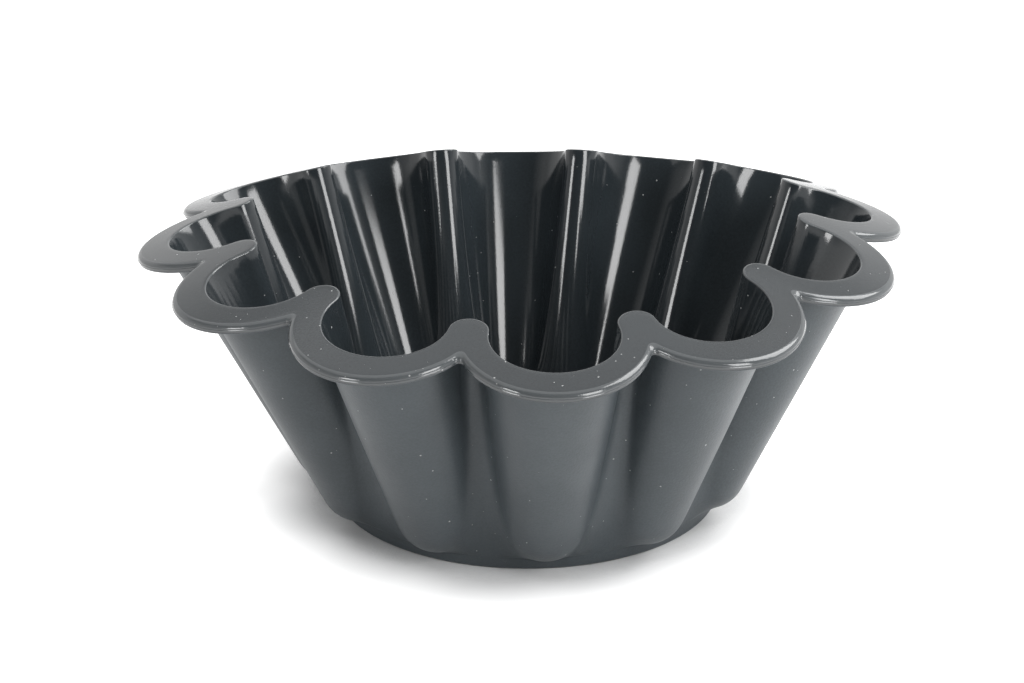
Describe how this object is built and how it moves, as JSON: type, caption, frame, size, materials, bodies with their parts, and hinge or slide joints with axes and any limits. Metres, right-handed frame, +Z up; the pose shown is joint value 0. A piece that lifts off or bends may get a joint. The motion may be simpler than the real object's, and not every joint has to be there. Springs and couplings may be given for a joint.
{
  "type": "brioche mould",
  "caption": "Fluted round brioche mould of dark grey silicone, one moulding: a flared cup with round lobes, ball noses over a flat foot, and a sloping flange that follows the lobes.",
  "frame": {"origin": "centre of the flat underside of the foot, on the mould's axis", "axes": "+Z up along the axis, out of the open mouth; +X through the middle of one lobe; +Y a quarter turn on, through the middle of another"},
  "size_m": [0.2393, 0.2384, 0.0931],
  "materials": {
    "silicone": "satin outside, glossy inside"
  },
  "bodies": {
    "root": {"mould_body": "silicone"}
  },
  "joints": []
}
